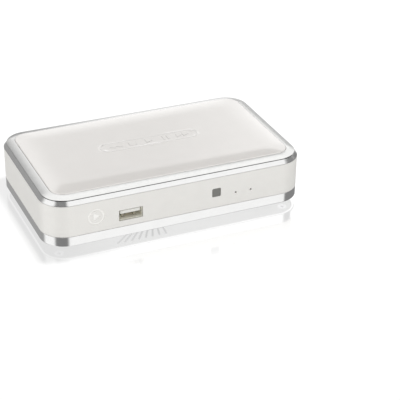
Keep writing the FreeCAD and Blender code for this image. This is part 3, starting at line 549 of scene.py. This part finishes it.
# By the record's material slots.
MATERIALS = {
    "cover_gloss": surface(
        "cover_gloss", (0.80, 0.773, 0.743), 0.22, variation=0.012, mottle=14 * MM, height=0.0006 * MM,
        Coat_Weight=1.0, Coat_Roughness=0.07, Coat_IOR=2.0),
    "housing_satin": surface(
        "housing_satin", (0.825, 0.812, 0.778), 0.33, variation=0.012, grain=0.6 * MM, height=0.001 * MM,
        rough_spread=0.1, IOR=1.6),
    "bezel_silver": surface(
        "bezel_silver", (0.78, 0.78, 0.77), 0.20, variation=0.015, height=0.0006 * MM, Metallic=1.0),
    "trim_silver": surface(
        "trim_silver", (0.79, 0.79, 0.785), 0.16, variation=0.015, height=0.0005 * MM, Metallic=1.0),
    "base_plastic": surface("base_plastic", (0.48, 0.48, 0.47), 0.6, height=0.012 * MM),
    "rear_plate": surface("rear_plate", (0.45, 0.46, 0.47), 0.5, height=0.008 * MM),
    "foot_rubber": surface("foot_rubber", (0.30, 0.30, 0.31), 0.8, height=0.02 * MM),
    "screw_steel": surface("screw_steel", (0.62, 0.62, 0.63), 0.35, Metallic=1.0, stretch=(1, 8, 1)),
    # The socket's cut edges are near black: partly bare steel, partly painted shade along the socket's
    # mouth.
    "socket_metal": sheet_metal("socket_metal", (0.94, 0.93, 0.85), 0.45, (0.10, 0.10, 0.08)),
    "contact_gold": surface("contact_gold", (0.83, 0.62, 0.27), 0.25, Metallic=1.0, stretch=(1, 6, 1)),
    "tongue_plastic": surface("tongue_plastic", (0.84, 0.84, 0.80), 0.5),
    "socket_black": surface("socket_black", (0.03, 0.03, 0.033), 0.5, variation=0.2, height=0.008 * MM),
    "window_smoke": surface(
        "window_smoke", (0.12, 0.12, 0.105), 0.15, height=0.0006 * MM, Coat_Weight=1.0),
    "light_pipe": surface("light_pipe", (0.16, 0.16, 0.16), 0.2, height=0.001 * MM),
    "lamp_plastic": surface("lamp_plastic", (0.55, 0.62, 0.30), 0.25),
    "emitter_red": surface("emitter_red", (0.45, 0.03, 0.02), 0.2),
    "button_plastic": surface("button_plastic", (0.62, 0.62, 0.61), 0.4),
    "board_green": surface("board_green", (0.02, 0.14, 0.06), 0.35, variation=0.25, mottle=3 * MM),
    "chip_black": surface("chip_black", (0.035, 0.035, 0.038), 0.6, variation=0.2),
    "sink_aluminium": surface(
        "sink_aluminium", (0.70, 0.71, 0.72), 0.38, Metallic=1.0, stretch=(1, 12, 1)),
    "pad_rubber": surface("pad_rubber", (0.30, 0.40, 0.52), 0.7),
    "can_aluminium": surface("can_aluminium", (0.78, 0.78, 0.79), 0.3, Metallic=1.0, stretch=(1, 1, 8)),
    "ferrite": surface("ferrite", (0.10, 0.10, 0.105), 0.65, variation=0.15, height=0.02 * MM),
}
# Painted highlight on the housing: the floor of the sunk badge is lightened towards off-white.
painted_zone(MATERIALS["housing_satin"], BADGE_FLOOR, BADGE_HALF, BADGE_HIGHLIGHT)
# Painted shade on the cover: the relief's sloped edges are darkened into thin grey outlines.
painted_zone(MATERIALS["cover_gloss"], RELIEF_SHADE, RELIEF_SHADE_HALF, RELIEF_SHADE_COLOR)


def stand_for(piece, node, slot):
    """The piece rides on the root body in the place of a CAD node."""
    piece.data.materials.clear()
    piece.data.materials.append(MATERIALS[slot])
    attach(piece, "root")
    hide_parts(node)


for part in frame["record"]["subparts"]:
    for holder in frame["nodes"][part["node"]].material_slots:
        holder.material = MATERIALS[part["material_slot"]]

stand_for(cover(), "top_panel", "cover_gloss")
stand_for(bezel_ring(), "top_bezel", "bezel_silver")
stand_for(accent_ring(), "accent_strip", "trim_silver")
stand_for(trim_ring(), "bottom_trim", "trim_silver")


# ---- Floor, light and camera -------------------------------------------------------------------

def floor_material():
    """Gloss white that glows, with painted shadow near the box where its glow is turned down, and mirrors
    only near the box.
    """
    material = bpy.data.materials.new("studio_floor")
    material.use_nodes = True
    tree = material.node_tree
    shader = tree.nodes["Principled BSDF"]
    shader.inputs["Metallic"].default_value = 1.0
    shader.inputs["Emission Color"].default_value = (1, 1, 1, 1)

    place = object_place(tree)
    beyond = vector_node(tree, "ABSOLUTE", place)
    beyond = vector_node(tree, "SUBTRACT", beyond, (TRIM_HIGH.x, TRIM_HIGH.y, 0))
    away = vector_node(tree, "LENGTH", vector_node(tree, "MAXIMUM", beyond, (0, 0, 0)))

    along = split_axes(tree, place)[0]
    left_zone = (TRIM_LOW.x, TRIM_LOW.x + FLOOR_LEFT_ZONE)
    shorter = remap(tree, along, *left_zone, FLOOR_LEFT_SHORTER, 1.0)
    away = math_node(tree, "MULTIPLY", away, shorter)
    fade = (FLOOR_MIRROR_SHADOW_FULL, FLOOR_MIRROR_SHADOW_END)
    mirror = remap(tree, away, *fade, remap(tree, along, *left_zone, *FLOOR_MIRROR), 0.0)
    # Painted shadow: the floor's glow is dimmed near the box and rises to FLOOR_FAR_GLOW away from it.
    glow_with_shadow = remap(tree, away, *fade, remap(tree, along, *left_zone, *FLOOR_SHADOW_GLOW), FLOOR_FAR_GLOW)
    tree.links.new(mirror, shader.inputs["Base Color"])
    tree.links.new(glow_with_shadow, shader.inputs["Emission Strength"])
    roughness = spread(tree, noise(tree, FLOOR_MOTTLE), *FLOOR_ROUGHNESS)
    tree.links.new(roughness, shader.inputs["Roughness"])
    return material


def floor():
    half = FLOOR_HALF
    verts = [(-half, -half, 0), (half, -half, 0), (half, half, 0), (-half, half, 0)]
    plane = add_piece("studio_floor", verts, [(0, 1, 2, 3)])
    plane.data.materials.append(floor_material())
    plane.visible_glossy = False


def patch_share(tree, turn, rise, half_width, half_height, softness):
    """1 inside a soft rectangle of the sky, 0 outside it."""
    shares = []
    for offset, half in ((turn, half_width), (rise, half_height)):
        distance = math_node(tree, "ABSOLUTE", offset)
        shares.append(remap(tree, distance, half - softness / 2, half + softness / 2, 1.0, 0.0))
    return math_node(tree, "MULTIPLY", *shares)


def studio_world():
    """Light tent with its screens and flags. The camera itself sees plain white."""
    world = bpy.data.worlds.new("studio")
    bpy.context.scene.world = world
    world.use_nodes = True
    tree = world.node_tree
    toward = tree.nodes.new("ShaderNodeTexCoord").outputs["Generated"]
    x, y, z = split_axes(tree, toward)
    heading = math_node(tree, "ARCTAN2", x, math_node(tree, "MULTIPLY", y, -1.0))
    heading = math_node(tree, "MULTIPLY", heading, math.degrees(1))
    height = math_node(tree, "MULTIPLY", math_node(tree, "ARCSINE", z), math.degrees(1))

    level = TENT
    for at_heading, at_height, half_width, half_height, softness, value in SCREENS.values():
        turn = math_node(tree, "WRAP", math_node(tree, "SUBTRACT", heading, at_heading), 180.0, -180.0)
        rise = math_node(tree, "SUBTRACT", height, at_height)
        share = patch_share(tree, turn, rise, half_width, half_height, softness)
        kept = math_node(tree, "MULTIPLY", level, math_node(tree, "SUBTRACT", 1.0, share))
        level = math_node(tree, "MULTIPLY_ADD", share, value, kept)

    seen = tree.nodes.new("ShaderNodeLightPath").outputs["Is Camera Ray"]
    level = math_node(tree, "MULTIPLY", level, math_node(tree, "SUBTRACT", 1.0, seen))
    sky = tree.nodes["Background"]
    sky.inputs["Color"].default_value = (1, 1, 1, 1)
    tree.links.new(math_node(tree, "ADD", level, seen), sky.inputs["Strength"])


def front_light():
    """Large soft light that shines on the box from the front left."""
    data = bpy.data.lights.new("front_softbox", "AREA")
    data.shape = "RECTANGLE"
    data.size, data.size_y = FRONT_LIGHT_SIZE
    data.energy = FRONT_LIGHT_POWER
    light = bpy.data.objects.new("front_softbox", data)
    light.location = FRONT_LIGHT_PLACE
    light.rotation_mode = "QUATERNION"
    light.rotation_quaternion = (-Vector(FRONT_LIGHT_PLACE)).to_track_quat("-Z", "Y")
    bpy.context.scene.collection.objects.link(light)
    light.visible_glossy = False


def camera():
    data = bpy.data.cameras.new("camera")
    data.lens = CAMERA_LENS
    data.sensor_width = CAMERA_SENSOR
    eye = bpy.data.objects.new("camera", data)
    pose = Matrix.Translation(CAMERA_PLACE)
    for angle, axis in ((-CAMERA_YAW, "Z"), (90 - CAMERA_PITCH, "X"), (CAMERA_ROLL, "Z")):
        pose = pose @ Matrix.Rotation(math.radians(angle), 4, axis)
    eye.matrix_world = pose
    bpy.context.scene.collection.objects.link(eye)
    bpy.context.scene.camera = eye


floor()
studio_world()
front_light()
camera()
bpy.context.scene.view_settings.view_transform = "Standard"
